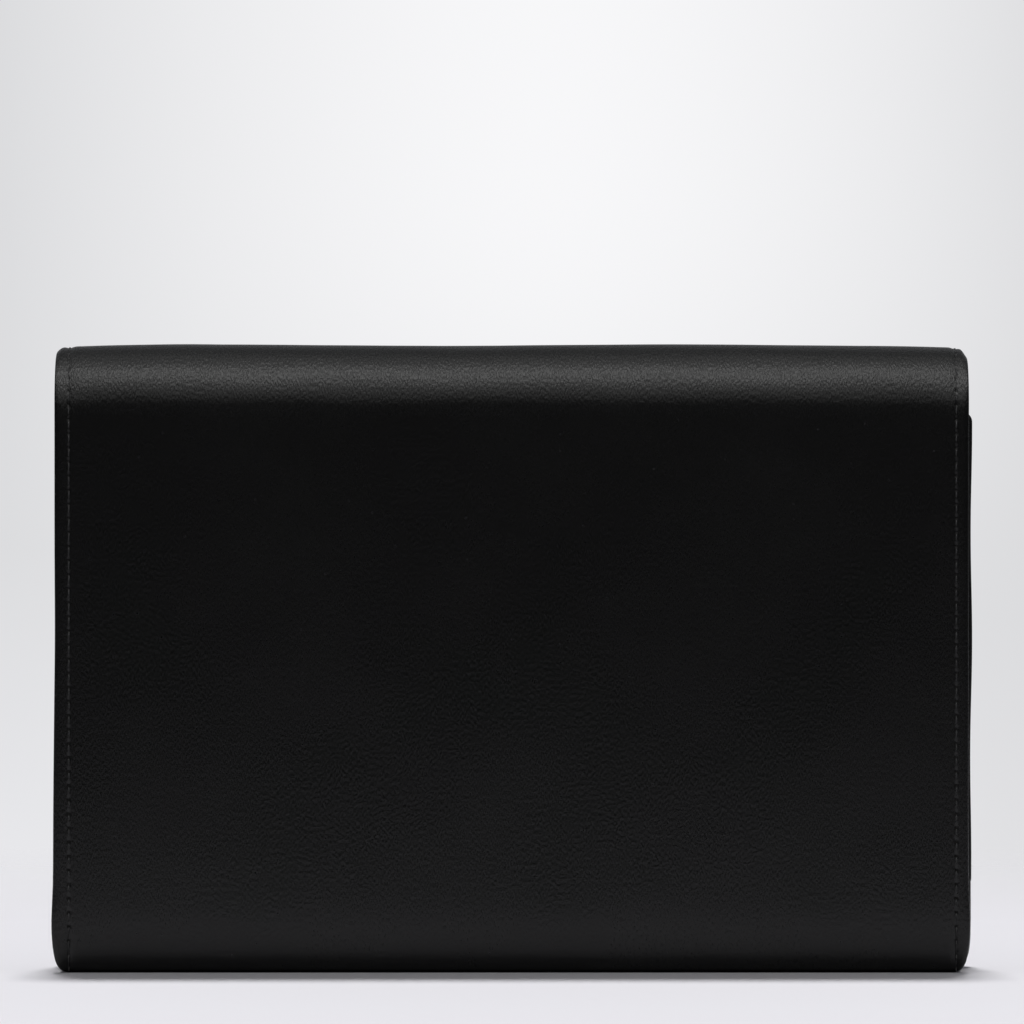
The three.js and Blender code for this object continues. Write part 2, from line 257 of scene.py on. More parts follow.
def seam_x(s):
    """The side stitches run straight, whatever the edge does."""
    return HALF + 0.1 * MM - stitch_in(s)


def stitch_distance(x, s):
    """Distance from a side's line of stitches, which sits slightly off centre."""
    return seam_x(s) - np.abs(x + lean(s) - STITCH_SHIFT)


def crown_sway(x, s, half):
    """The whole thickness dips at the ends of the top fold, and waves slightly along it."""
    edge = half - np.abs(x)
    top = bump(fold_angle(s), 90, 40)
    worn = np.where(x < 0, 1.0, 0.0)  # one corner of the fold is softer than the other
    dip = (0.7 + 0.25 * worn) * np.exp(-edge / (9 * MM))
    dip = dip + (0.5 + 1.2 * worn) * np.exp(-((edge / (1.3 * MM)) ** 2))
    wave = 0.2 * np.cos((x - 89 * MM) / (134 * MM) * 2 * math.pi)
    notch = 0.2 * bump(stitch_distance(x, s), 0, 1.3 * MM)
    return MM * top * (wave - dip - notch - 0.05)


def back_relief(x, s, half):
    wall = np.clip((s - S_WALL) / (20 * MM), 0, 1) * np.clip((S_FOLD - s) / (15 * MM) + 1, 0, 1)
    on_fold = bump(fold_angle(s), 45, 50)
    out = 0.10 * MM * broad(x, s) * wall + 0.012 * MM * rumple(x, s)
    out = out + 0.10 * MM * rumple(x * 0.8, s * 1.4 + 0.3) * on_fold
    out = out + back_shoulder(half - np.abs(x), s)
    foot = np.clip((s - S_BASE) / (4 * MM), 0, 1) * (s < S_FOLD)
    out = out - 0.39 * MM * bump(height_of(strip, s), 4 * MM, 8.5 * MM) * foot
    return on_floor(out + needle_relief(stitch_distance(x, s), s, S_CROWN), strip, s)


def flap_relief(x, s, half):
    wall = np.clip((s - S_FLAP) / (25 * MM), 0, 1)
    out = 0.12 * MM * broad(x, s) * wall + 0.015 * MM * rumple(x, s)
    out = out + flap_shoulder(half - np.abs(x), s)
    return out + needle_relief(stitch_distance(x, s), s, S_CROWN)


def on_floor(relief, line, s):
    """The underside lies on the floor, so that its relief only goes inwards."""
    return np.where(height_of(line, s) < 0.6 * MM, np.minimum(relief, 0), relief)


def front_relief(x, s, half):
    out = 0.12 * MM * broad(x + 0.4, s) + 0.015 * MM * rumple(x + 0.2, s)
    return on_floor(out + needle_relief(half - np.abs(x) - STITCH_IN, s, S_FRONT_END), front, s)


# ---------------------------------------------------------------- slabs
EDGE_STEPS = np.array([0, 0.03, 0.1, 0.22, 0.4, 0.65, 0.95, 1.3, 1.7, 2.1, 2.5, 2.9]) * MM
LINE_STEPS = np.array([3.2, 3.5, 3.7, 3.85, 4.0, 4.1, 4.2, 4.35, 4.5, 4.7, 5.0, 5.4, 6.0, 7.0]) * MM
THIN_EDGE = np.array([0, 0.02, 0.06, 0.12, 0.2, 0.3, 0.45, 0.7, 1.2]) * MM


def rounded_inset(distance, reach, thickness):
    """How far a face draws in at this distance from the outline, to meet the other face there."""
    t = 1 - np.clip(distance / reach, 0, 1)
    return thickness / 2 * (1 - np.sqrt(np.clip(1 - t * t, 0, 1)))


def end_rows(corner, reach, low, high, step, steps):
    """Values of s from low, a free end, to high: close together round the corner and the edge."""
    near = [0.0] + [e for e in steps if 0 < e < 4 * reach]
    if corner:
        near += list(corner * (1 - np.cos(np.radians(np.linspace(0, 90, 22)))))
    near = np.array(sorted(set(np.round(near, 6))))
    start = near.max() + step
    n = max(2, int(round((high - low - start) / step)) + 1)
    return np.concatenate([low + near, np.linspace(low + start, high, n)])


def new_object(name, data):
    made = bpy.data.objects.new(name, data)
    bpy.context.scene.collection.objects.link(made)
    return made


def new_piece(name, vertices, faces, material, attributes=None, sharp=None):
    mesh = bpy.data.meshes.new(name)
    mesh.from_pydata([tuple(v) for v in vertices], [], faces)
    for key, values in (attributes or {}).items():
        layer = mesh.attributes.new(key, "FLOAT_VECTOR", "POINT")
        layer.data.foreach_set("vector", np.asarray(values, np.float32).ravel())
    mesh.shade_smooth()
    if sharp is not None:
        ends = np.empty(2 * len(mesh.edges), np.int32)
        mesh.edges.foreach_get("vertices", ends)
        both = sharp[ends.reshape(-1, 2)].all(1)
        mesh.attributes.new("sharp_edge", "BOOLEAN", "EDGE").data.foreach_set("value", both)
    mesh.materials.append(material)
    return new_object(name, mesh)


def grid_faces(index, flip):
    a, b, c, d = index[:-1, :-1], index[1:, :-1], index[1:, 1:], index[:-1, 1:]
    return np.stack([a, d, c, b] if flip else [a, b, c, d], 2).reshape(-1, 4).tolist()


def end_faces(top, bottom, flip):
    """The faces that join one edge of a grid to the same edge of the grid below it."""
    quads = np.stack([top[:-1], top[1:], bottom[1:], bottom[:-1]], 1)
    return (quads[:, ::-1] if flip else quads).tolist()


def slab(
    name, line, rows, half, thickness, material, offset=0.0, relief=None, inner_relief=None,
    sway=None, free=(False, False), corner=0.0, reach=EDGE_REACH, steps=None, middle=60, shift=0.0,
):
    """A closed slab that follows a line: flat faces, and edges that are rounded over."""
    steps = np.concatenate([EDGE_STEPS, LINE_STEPS]) if steps is None else steps
    rows = np.asarray(rows, float)
    y, z, ny, nz = line.at(rows)
    width = np.array([half(s) for s in rows]) if callable(half) else np.full(len(rows), half)
    from_end = np.full(len(rows), 1.0)
    if free[0]:
        from_end = np.minimum(from_end, rows - rows[0])
    if free[1]:
        from_end = np.minimum(from_end, rows[-1] - rows)
    cut = np.zeros(len(rows))
    if corner:
        k = np.clip(corner - from_end, 0, None)
        cut = corner - np.sqrt(np.clip(corner**2 - k**2, 0, None))
    reach_x = width - cut
    inner = np.linspace(-1, 1, middle + 2)[1:-1]
    left = -(reach_x[:, None] - steps[None, :])
    right = -left[:, ::-1]
    mid = inner[None, :] * (reach_x[:, None] - steps[-1])
    x = np.concatenate([left, mid, right], 1)
    side = width[:, None] - np.abs(x)
    end = np.repeat(from_end[:, None], x.shape[1], 1)
    distance = np.minimum(side, end)
    if corner:
        in_corner = (side < corner) & (end < corner)
        round_it = corner - np.hypot(corner - side, corner - end)
        distance = np.where(in_corner, round_it, distance)
    distance = np.clip(distance, 0, None)
    inset = rounded_inset(distance, reach, thickness)
    settle = np.clip(distance / reach, 0, 1)
    s = np.repeat(rows[:, None], x.shape[1], 1)
    raised = relief(x, s, width[:, None]) * settle if relief else 0.0
    sunk = inner_relief(x, s, width[:, None]) * settle if inner_relief else 0.0
    swayed = sway(x, s, width[:, None]) if sway else 0.0
    moved = np.array([shift(v) for v in rows])[:, None] if callable(shift) else shift
    faces_out = []
    for depth in (swayed - offset - inset + raised, swayed - offset - thickness + inset - sunk):
        points = np.stack(
            [x + moved, y[:, None] + ny[:, None] * depth, z[:, None] + nz[:, None] * depth], 2
        )
        faces_out.append(points)
    index = np.arange(x.size).reshape(x.shape)
    under = index + x.size
    under[:, 0], under[:, -1] = index[:, 0], index[:, -1]
    if free[0]:
        under[0] = index[0]
    if free[1]:
        under[-1] = index[-1]
    vertices = np.concatenate([f.reshape(-1, 3) for f in faces_out])
    cloth = [np.stack([x, s, np.full_like(x, v)], 2).reshape(-1, 3) for v in (0.0, 0.5)]
    cloth = np.concatenate(cloth)
    faces = grid_faces(index, False) + grid_faces(under, True)
    sharp = np.zeros(len(vertices), bool)
    for row, is_free, flip in ((0, free[0], False), (-1, free[1], True)):
        if not is_free:
            sharp[index[row]] = sharp[under[row]] = True
            faces += end_faces(index[row], under[row], flip)
    vertices, cloth, sharp, faces = tidy(vertices, cloth, sharp, faces)
    return new_piece(name, vertices, faces, material, {"cloth": cloth}, sharp)


def tidy(vertices, cloth, sharp, faces):
    """Drops the corners that a face uses twice, and the points that no face uses."""
    kept = []
    for face in faces:
        ring = [v for k, v in enumerate(face) if v != face[k - 1]]
        if len(set(ring)) >= 3:
            kept.append(ring)
    used = np.zeros(len(vertices), bool)
    for face in kept:
        used[face] = True
    where = np.cumsum(used) - 1
    return vertices[used], cloth[used], sharp[used], [[int(where[v]) for v in f] for f in kept]


# ---------------------------------------------------------------- stitches
THREAD_SIDES = 10
THREAD_RINGS = 13


def stitch_row(
    name, line, needles, sides, material, lift=None, shift=None, thickness=WALL, sway=None
):
    """One thread dash from each needle hole to the next. needles is a list of runs of (x, s)."""
    t = np.linspace(0, 1, THREAD_RINGS)
    vertices, faces, cloth = [], [], []
    ring_angle = np.linspace(0, 2 * math.pi, THREAD_SIDES, endpoint=False)
    gaps = [(*one, *two) for run in needles for one, two in zip(run[:-1], run[1:])]
    for x0, s0, x1, s1 in gaps:
        for side in sides:
            dx, ds = x1 - x0, s1 - s0
            size = math.hypot(dx, ds)
            ux, us = dx / size, ds / size
            slant = STITCH_SLANT + rng.normal(0, 0.035 * MM)
            u = 0.05 + 0.9 * t
            off = slant * (2 * t - 1) * side
            x = x0 + dx * u - us * off
            s = s0 + ds * u + ux * off
            y, z, ny, nz = line.at(s)
            base = 0.0 if side > 0 else -thickness
            moved = np.array([shift(v) for v in s]) if shift else 0.0
            leaning = sway(x, s) if sway else 0.0
            size_jitter = 1 + rng.normal(0, 0.05)
            upper = t if height_of(line, s1) > height_of(line, s0) else 1 - t
            swell = np.clip(np.sin(math.pi * upper**2.2), 0, 1) ** 0.6
            height = THREAD_RISE * swell - THREAD_SUNK
            plump = 0.6 + 0.4 * swell
            depth = base + side * (height + rng.normal(0, 0.02 * MM)) + leaning
            outside = lift(x, s) if lift else -GROOVE
            depth = depth + (outside if side > 0 else 0.02 * MM)
            centre = np.stack([x + moved, y + ny * depth, z + nz * depth], 1)
            tangent = np.gradient(centre, axis=0)
            tangent /= np.linalg.norm(tangent, axis=1, keepdims=True)
            normal = np.stack([np.zeros_like(ny), ny, nz], 1) * side
            normal -= tangent * (normal * tangent).sum(1, keepdims=True)
            normal /= np.linalg.norm(normal, axis=1, keepdims=True)
            across = np.cross(tangent, normal)
            twist = ring_angle[None, :] * 3 - t[:, None] * 15.0
            radius = THREAD_R * size_jitter * plump[:, None] * (1 + 0.13 * np.cos(twist))
            spoke = np.cos(ring_angle)[:, None] * normal[:, None]
            spoke = spoke + np.sin(ring_angle)[:, None] * across[:, None]
            points = centre[:, None] + radius[:, :, None] * spoke
            start = len(vertices) * THREAD_RINGS * THREAD_SIDES
            index = start + np.arange(points[..., 0].size).reshape(points.shape[:2])
            a, b = index[:-1], index[1:]
            quads = np.stack([a, np.roll(a, -1, 1), np.roll(b, -1, 1), b], 2)
            faces += quads.reshape(-1, 4).tolist()
            faces.append(index[0][::-1].tolist())
            faces.append(index[-1].tolist())
            vertices.append(points.reshape(-1, 3))
            mark = np.empty_like(points)
            mark[..., 0] = t[:, None] * size
            mark[..., 1] = ring_angle
            mark[..., 2] = rng.uniform(0, 1)
            cloth.append(mark.reshape(-1, 3))
    return new_piece(
        name, np.concatenate(vertices), faces, material, {"cloth": np.concatenate(cloth)}
    )


# ---------------------------------------------------------------- materials
class Nodes:
    """A node tree, with short ways to add the nodes that the materials are made of."""

    def __init__(self, tree):
        self.tree = tree
        tree.nodes.clear()

    def new(self, kind, inputs=None, **settings):
        """A node. Each input is given a number, a colour, or another node's output."""
        node = self.tree.nodes.new(kind)
        for key, value in settings.items():
            setattr(node, key, value)
        for key, value in (inputs or {}).items():
            socket = node.inputs[key]
            if isinstance(value, (int, float)):
                socket.default_value = value
            elif isinstance(value, tuple):
                is_color = len(socket.default_value) == 4
                socket.default_value = (*value, 1) if is_color else value
            else:
                self.tree.links.new(value, socket)
        return node

    def scaled(self, vector, scale):
        return self.new("ShaderNodeMapping", {"Vector": vector, "Scale": scale}).outputs[0]

    def cloth(self, scale):
        """The place on the cloth (x, s, side) in metres, scaled."""
        place = self.new("ShaderNodeAttribute", attribute_name="cloth")
        return self.scaled(place.outputs["Vector"], scale)

    def object(self, scale):
        return self.scaled(self.new("ShaderNodeTexCoord").outputs["Object"], scale)

    def noise(self, vector, detail, rough):
        inputs = {"Vector": vector, "Scale": 1.0, "Detail": detail, "Roughness": rough}
        return self.new("ShaderNodeTexNoise", inputs).outputs["Fac"]

    def bands(self, vector, direction, distortion, detail=2.0):
        inputs = {"Vector": vector, "Scale": 1.0, "Distortion": distortion, "Detail": detail}
        made = self.new("ShaderNodeTexWave", inputs, wave_type="BANDS", bands_direction=direction)
        return made.outputs["Fac"]

    def calc(self, operation, a, b=0.5, clamp=False):
        made = self.new("ShaderNodeMath", {0: a, 1: b}, operation=operation, use_clamp=clamp)
        return made.outputs[0]

    def span(self, value, low, high, to_low, to_high):
        """The value, moved from the range low to high into the range to_low to to_high."""
        inputs = {"From Min": low, "From Max": high, "To Min": to_low, "To Max": to_high}
        return self.new("ShaderNodeMapRange", {"Value": value, **inputs}).outputs["Result"]

    def mix(self, factor, a, b):
        inputs = {"Factor": factor, "A": a, "B": b}
        return self.new("ShaderNodeMix", inputs, data_type="RGBA").outputs["Result"]

    def bump(self, height, strength, distance, normal=None):
        inputs = {"Height": height, "Strength": strength, "Distance": distance}
        if normal is not None:
            inputs["Normal"] = normal
        return self.new("ShaderNodeBump", inputs).outputs["Normal"]

    def camera_ray(self):
        return self.new("ShaderNodeLightPath").outputs["Is Camera Ray"]

    def end(self, shader, kind="Material"):
        self.new("ShaderNodeOutput" + kind, {0: shader.outputs[0]})

    def end_mixed(self, factor, one, two, kind="Material"):
        inputs = {0: factor, 1: one.outputs[0], 2: two.outputs[0]}
        self.end(self.new("ShaderNodeMixShader", inputs), kind)


def new_material(name):
    material = bpy.data.materials.new(name)
    material.use_nodes = True
    return material, Nodes(material.node_tree)


ON_WALL = 0.22


def fold_stretch(tree):
    """The weave opens where the cloth is stretched over the top fold, and less on the walls."""
    place = tree.new("ShaderNodeSeparateXYZ", {0: tree.cloth((1, 1, 1))})
    rear = tree.span(place.outputs["Y"], S_FOLD - 3 * MM, S_FOLD + 8 * MM, ON_WALL, 1.0)
    near = tree.span(place.outputs["Y"], S_FLAP - 8 * MM, S_FLAP + 3 * MM, 1.0, ON_WALL)
    return tree.calc("MINIMUM", rear, near)


def satin_material(name, dark, light, roughness, grain=1.0, sheen=0.12, lint=True):
    """Warp-faced satin: long floats along s, fine grain, slight shade changes and stray lint."""
    material, tree = new_material(name)
    floats = tree.noise(tree.cloth((2400, 800, 1)), 1.0, 0.5)
    floats = tree.span(floats, 0.34, 0.66, 0.0, 1.0)
    picks = tree.noise(tree.cloth((900, 2600, 1)), 1.0, 0.5)
    yarn = tree.bands(tree.cloth((1500, 160, 1)), "X", 1.2, 1.0)
    patches = tree.noise(tree.cloth((22, 22, 1)), 3.0, 0.55)
    weave = tree.calc("MULTIPLY", floats, 0.65)
    weave = tree.calc("ADD", weave, tree.calc("MULTIPLY", picks, 0.2))
    weave = tree.calc("ADD", weave, tree.calc("MULTIPLY", yarn, 0.15))
    shade = tree.span(weave, 0.2, 0.8, 0.0, 1.0)
    stretch = fold_stretch(tree)
    relief = tree.calc("MULTIPLY", weave, stretch)
    color = tree.mix(shade, dark, light)
    worn = tuple(min(1.0, 1.5 * v) for v in light)
    patch_amount = tree.span(patches, 0.45, 0.75, 0.0, 0.35)
    color = tree.mix(patch_amount, color, worn)
    if lint:
        inputs = {"Vector": tree.cloth((150, 150, 150)), "Scale": 1.0}
        specks = tree.new("ShaderNodeTexVoronoi", inputs, voronoi_dimensions="2D", feature="F1")
        near = tree.span(specks.outputs["Distance"], 0.042, 0.02, 0.0, 1.0)
        split = tree.new("ShaderNodeSeparateColor", {0: specks.outputs["Color"]})
        rare = tree.span(split.outputs[0], 0.80, 0.95, 0.0, 1.0)
        amount = tree.calc("MULTIPLY", near, rare, True)
        amount = tree.calc("MULTIPLY", amount, 0.14)
        color = tree.mix(amount, color, (0.16, 0.16, 0.17))
    grained = tree.calc("MULTIPLY", tree.span(weave, 0.2, 0.8, 0.13, -0.12), stretch)
    patchy = tree.span(patches, 0.3, 0.7, roughness + 0.006, roughness + 0.014)
    rough = tree.calc("ADD", grained, patchy)
    normal = tree.bump(relief, 1.0, 0.145 * MM * grain)
    inputs = {
        "Base Color": color,
        "Roughness": rough,
        "Normal": tree.bump(patches, 0.03, 0.25 * MM, normal),
        "Specular IOR Level": 0.3,
        "Specular Tint": (1.0, 1.0, 0.995),
        "Sheen Weight": sheen,
        "Sheen Roughness": 0.35,
        "Sheen Tint": (0.8, 0.82, 0.9),
    }
    tree.end(tree.new("ShaderNodeBsdfPrincipled", inputs))
    return material


def thread_material(name):
    material, tree = new_material(name)
    ply = tree.bands(tree.cloth((4200, 0.8, 1)), "DIAGONAL", 0.6)
    tone = tree.noise(tree.cloth((600, 1, 40)), 2.0, 0.5)
    color = tree.mix(ply, (0.003, 0.003, 0.0033), (0.009, 0.009, 0.0095))
    faded = tree.span(tone, 0.35, 0.7, 0.0, 0.5)
    color = tree.mix(faded, color, (0.016, 0.016, 0.0175))
    inputs = {
        "Base Color": color,
        "Roughness": tree.span(ply, 0.0, 1.0, 0.42, 0.28),
        "Normal": tree.bump(ply, 0.6, 0.06 * MM),
        "Sheen Weight": 0.04,
        "Sheen Roughness": 0.3,
    }
    tree.end(tree.new("ShaderNodeBsdfPrincipled", inputs))
    return material


def metal_material(name, color, worn, roughness):
    """Plated sheet metal: fine brushing, smudges and duller rubbed places."""
    material, tree = new_material(name)
    brush = tree.noise(tree.object((9000, 900, 9000)), 3.0, 0.6)
    smudge = tree.noise(tree.object((260, 260, 260)), 4.0, 0.6)
    rub = tree.span(smudge, 0.5, 0.72, 0.0, 1.0)
    rough = tree.span(brush, 0.3, 0.7, roughness - 0.06, roughness + 0.08)
    inputs = {
        "Base Color": tree.mix(rub, color, worn),
        "Metallic": 1.0,
        "Roughness": tree.calc("ADD", rough, tree.calc("MULTIPLY", rub, 0.12)),
        "Normal": tree.bump(brush, 0.15, 0.02 * MM),
    }
    tree.end(tree.new("ShaderNodeBsdfPrincipled", inputs))
    return material


def board_material(name, dark, light):
    """Pressed fibre board: flecked, matt and slightly uneven."""
    material, tree = new_material(name)
    fleck = tree.noise(tree.object((700, 700, 700)), 5.0, 0.65)
    cloud = tree.noise(tree.object((45, 45, 45)), 3.0, 0.5)
    color = tree.mix(tree.span(fleck, 0.35, 0.65, 0.0, 1.0), dark, light)
    color = tree.mix(tree.span(cloud, 0.4, 0.8, 0.0, 0.4), color, dark)
    inputs = {
        "Base Color": color,
        "Roughness": tree.span(fleck, 0.3, 0.7, 0.95, 0.8),
        "Normal": tree.bump(fleck, 0.4, 0.08 * MM),
    }
    tree.end(tree.new("ShaderNodeBsdfPrincipled", inputs))
    return material


satin = satin_material(
    "black_satin", (0.0001, 0.0001, 0.0001), (0.0032, 0.0032, 0.0032), 0.235, sheen=0.006
)
lining_cloth = satin_material(
    "lining_cloth", (0.008, 0.008, 0.009), (0.019, 0.0185, 0.02), 0.52, 1.4, 0.2, lint=False
)
thread = thread_material("black_thread")
plate_metal = metal_material("snap_plating", (0.62, 0.56, 0.43), (0.42, 0.38, 0.3), 0.24)
steel_metal = metal_material("pressed_steel", (0.5, 0.5, 0.51), (0.3, 0.3, 0.31), 0.36)
ferrite = board_material("ferrite", (0.03, 0.03, 0.032), (0.07, 0.07, 0.074))
fibre_board = board_material("fibre_board", (0.16, 0.10, 0.06), (0.34, 0.25, 0.16))

for node_name, material in (
    ("board_back", fibre_board),
    ("board_front", fibre_board),
    ("board_flap", fibre_board),
    ("snap_magnet", ferrite),
    ("snap_stud_washer", steel_metal),
    ("snap_socket_washer", steel_metal),
    ("snap_socket_base", steel_metal),
):
    cad = frame["nodes"][node_name]
    cad.data.materials.clear()
    cad.data.materials.append(material)


# ---------------------------------------------------------------- outer strip
def low_draw(z):
    """How much a side draws in where the bottom corner rounds off."""
    return math.exp(-z / (3.2 * MM))


def back_half(s):
    """The strip's half width: a little full at the base corner and over the crown."""
    y, z = strip.at(s)[:2]
    rear = y > 0 and s < S_CROWN
    full = (0.50 * bump(z, 13 * MM, 9 * MM) + 0.16 * bump(z, 20 * MM, 40 * MM)) * rear
    waist = 0.12 * bump(z, 98 * MM, 16 * MM)
    flare = 0.25 * bump(fold_angle(s), 90, 50)
    half = HALF + MM * (0.1 + full - waist + flare - 2.1 * low_draw(z))
    across = np.clip((REAR_Y - y) / (REAR_Y - TIP_Y), 0, 1) * (s < S_WALL)
    return float(half + (front_half(S_FRONT_END) - half) * across**2 * (3 - 2 * across))


def front_half(s):
    z = height_of(front, s)
    wavy = 0.22 * math.cos((z - 94 * MM) / (62 * MM) * 2 * math.pi)
    slack = 0.25 * bump(z, 35 * MM, 35 * MM)
    return float(FRONT_HALF + MM * (wavy * (z > 25 * MM) - slack - 1.8 * low_draw(z)))


def front_shift(s):
    return float(FRONT_SHIFT * (1 - low_draw(height_of(front, s))))


def rows_between(low, high, step=0.5 * MM):
    return np.linspace(low, high, int(round((high - low) / step)) + 1)


back_satin = slab(
    "back_satin", strip, rows_between(0, S_CROWN), back_half, SATIN_T, satin,
    relief=back_relief, sway=crown_sway, shift=lean, middle=46,
)
flap_rows = S_FOOT - end_rows(
    FLAP_CORNER, EDGE_REACH, 0, S_FOOT - S_CROWN, 0.5 * MM, EDGE_STEPS
)[::-1]
flap_satin = slab(
    "flap_satin", strip, flap_rows, back_half, SATIN_T, satin,
    relief=flap_relief, sway=crown_sway, free=(False, True), corner=FLAP_CORNER, middle=46,
)
front_rows = end_rows(FRONT_CORNER, EDGE_REACH, 0, S_FRONT_END, 0.5 * MM, EDGE_STEPS)
front_satin = slab(
    "front_satin", front, front_rows, front_half, SATIN_T, satin,
    relief=front_relief, free=(True, False), corner=FRONT_CORNER, middle=46, shift=front_shift,
)

base_board = slab(
    "base_board", strip, rows_between(1.0 * MM, S_BASE, 1.0 * MM), HALF - 5 * MM, 1.0 * MM,
    fibre_board, offset=0.7 * MM, reach=0.3 * MM, steps=THIN_EDGE, middle=20,
)

# ---------------------------------------------------------------- linings
def lining_relief(x, s, half):
    return 0.07 * MM * rumple(x, s) + 0.05 * MM * broad(x, s)


def lining_half(s):
    return back_half(s) - LINING_EDGE


def lining_sway(x, s, half):
    return crown_sway(x, s, half + LINING_EDGE)


lining_steps = np.concatenate([THIN_EDGE, np.array([2.0, 3.5]) * MM])
back_lining = slab(
    "back_lining", strip, rows_between(0, S_CROWN, 1.0 * MM), lining_half, LINING_T, lining_cloth,
    offset=LINING_IN, inner_relief=lining_relief, sway=lining_sway, reach=0.5 * MM,
    steps=lining_steps, shift=lean, middle=80,
)
lining_foot = S_FOOT - LINING_EDGE
lining_rows = lining_foot - end_rows(
    FLAP_CORNER - LINING_EDGE, 0.5 * MM, 0, lining_foot - S_CROWN, 1.0 * MM, THIN_EDGE
)[::-1]
flap_lining = slab(
    "flap_lining", strip, lining_rows, lining_half, LINING_T, lining_cloth,
    offset=LINING_IN, inner_relief=lining_relief, sway=lining_sway, free=(False, True),
    corner=FLAP_CORNER - LINING_EDGE, reach=0.5 * MM, steps=lining_steps, middle=80,
)
front_lining_rows = LINING_EDGE + end_rows(
    1.0 * MM, 0.5 * MM, 0, S_FRONT_END - LINING_EDGE, 1.0 * MM, THIN_EDGE
)
front_lining = slab(
    "front_lining", front, front_lining_rows, lambda s: front_half(s) - LINING_EDGE, LINING_T,
    lining_cloth, offset=LINING_IN, inner_relief=lining_relief, free=(True, False),
    corner=1.0 * MM, reach=0.5 * MM, steps=lining_steps, middle=80, shift=front_shift,
)


# ---------------------------------------------------------------- stitches on the walls
def needle_positions(low, high, first):
    k0 = math.ceil((low - first) / PITCH - 1e-6)
    k1 = math.floor((high - first) / PITCH + 1e-6)
    return [first + k * PITCH for k in range(k0, k1 + 1)]


def even_run(points):
    """Points spaced by the pitch along a polyline of (x, s)."""
    p = np.array(points, float)
    step = np.hypot(*np.diff(p, axis=0).T)
    along = np.concatenate([[0], np.cumsum(step)])
    n = int(round(along[-1] / PITCH))
    t = np.linspace(0, along[-1], n + 1)
    return list(zip(np.interp(t, along, p[:, 0]), np.interp(t, along, p[:, 1])))


def edge_needle(sign, s):
    return (sign * seam_x(s) + STITCH_SHIFT - lean(s), s)


def stitch_sway(x, s):
    return crown_sway(x, s, np.array([back_half(v) for v in s]))


def back_lift(x, s):
    return back_shoulder(STITCH_IN, s) - GROOVE


back_runs = []
for sign in (-1, 1):
    positions = needle_positions(1.5 * MM, S_CROWN, S_CROWN)
    back_runs.append([edge_needle(sign, s) for s in positions])
back_stitches = stitch_row(
    "back_stitches", strip, back_runs, (1, -1), thread, lift=back_lift, shift=lean,
    sway=stitch_sway,
)

flap_runs = []
corner_r = FLAP_CORNER - STITCH_IN
last_s = S_FOOT - FLAP_CORNER
for sign in (-1, 1):
    straight_part = needle_positions(S_CROWN, last_s, S_CROWN)
    flap_runs.append([edge_needle(sign, s) for s in straight_part])
centre_x = back_half(last_s) - FLAP_CORNER
left_arc = [
    (-centre_x - corner_r * math.cos(a), last_s + corner_r * math.sin(a))
    for a in np.radians(np.linspace(0, 90, 30))
]
right_arc = [(-x, s) for x, s in left_arc[::-1]]
flap_runs.append(even_run([flap_runs[0][-1]] + left_arc + right_arc + [flap_runs[1][-1]]))


def flap_lift(x, s):
    return flap_shoulder(STITCH_IN, s) - GROOVE


flap_stitches = stitch_row(
    "flap_stitches", strip, flap_runs, (1, -1), thread, lift=flap_lift, sway=stitch_sway
)

front_runs = []
for sign in (-1, 1):
    positions = needle_positions(STITCH_IN + 1 * MM, S_FRONT_END - 1.0 * MM, S_FRONT_END)
    front_runs.append([(sign * (front_half(s) - STITCH_IN), s) for s in positions])
top_x = FRONT_HALF - STITCH_IN
top_run = [front_runs[0][0], (-top_x, STITCH_IN), (top_x, STITCH_IN), front_runs[1][0]]
front_runs.append(even_run(top_run))
front_stitches = stitch_row(
    "front_stitches", front, front_runs, (1, -1), thread, shift=front_shift
)

# ---------------------------------------------------------------- gussets
GUSSET_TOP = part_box("gusset_satin_left_rear")[1].z
GUSSET_HALF_X = 127.2 * MM
FOLD_IN_TOP = 21 * MM
FOLD_IN_FOOT = 10 * MM
REAR_IN = BACK_Y - WALL + 0.1 * MM
FRONT_IN = FRONT_Y + WALL - 0.1 * MM


